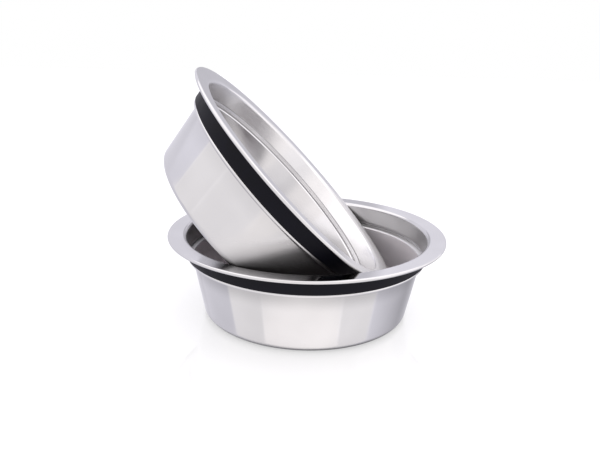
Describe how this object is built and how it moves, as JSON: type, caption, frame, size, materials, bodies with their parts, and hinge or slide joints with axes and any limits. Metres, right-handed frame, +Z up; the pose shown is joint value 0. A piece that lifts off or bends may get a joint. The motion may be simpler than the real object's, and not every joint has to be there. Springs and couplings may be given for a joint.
{
  "type": "double dog bowl pair",
  "caption": "Pair of polished steel dog bowls with rolled rims and black rubber rings round their necks, one standing and one leaning in its mouth.",
  "frame": {"origin": "centre of the standing bowl's flat base, on the floor", "axes": "+Z up along the standing bowl's axis, +X the way the leaning bowl's mouth faces; the leaning bowl is turned about Y, so XZ is the mirror plane"},
  "size_m": [0.2356, 0.235, 0.2049],
  "materials": {
    "steel": "bright polished stainless steel sheet",
    "rubber": "smooth satin black rubber"
  },
  "bodies": {
    "root": {"standing_bowl": "steel", "standing_ring": "rubber", "leaning_bowl": "steel", "leaning_ring": "rubber"}
  },
  "joints": []
}
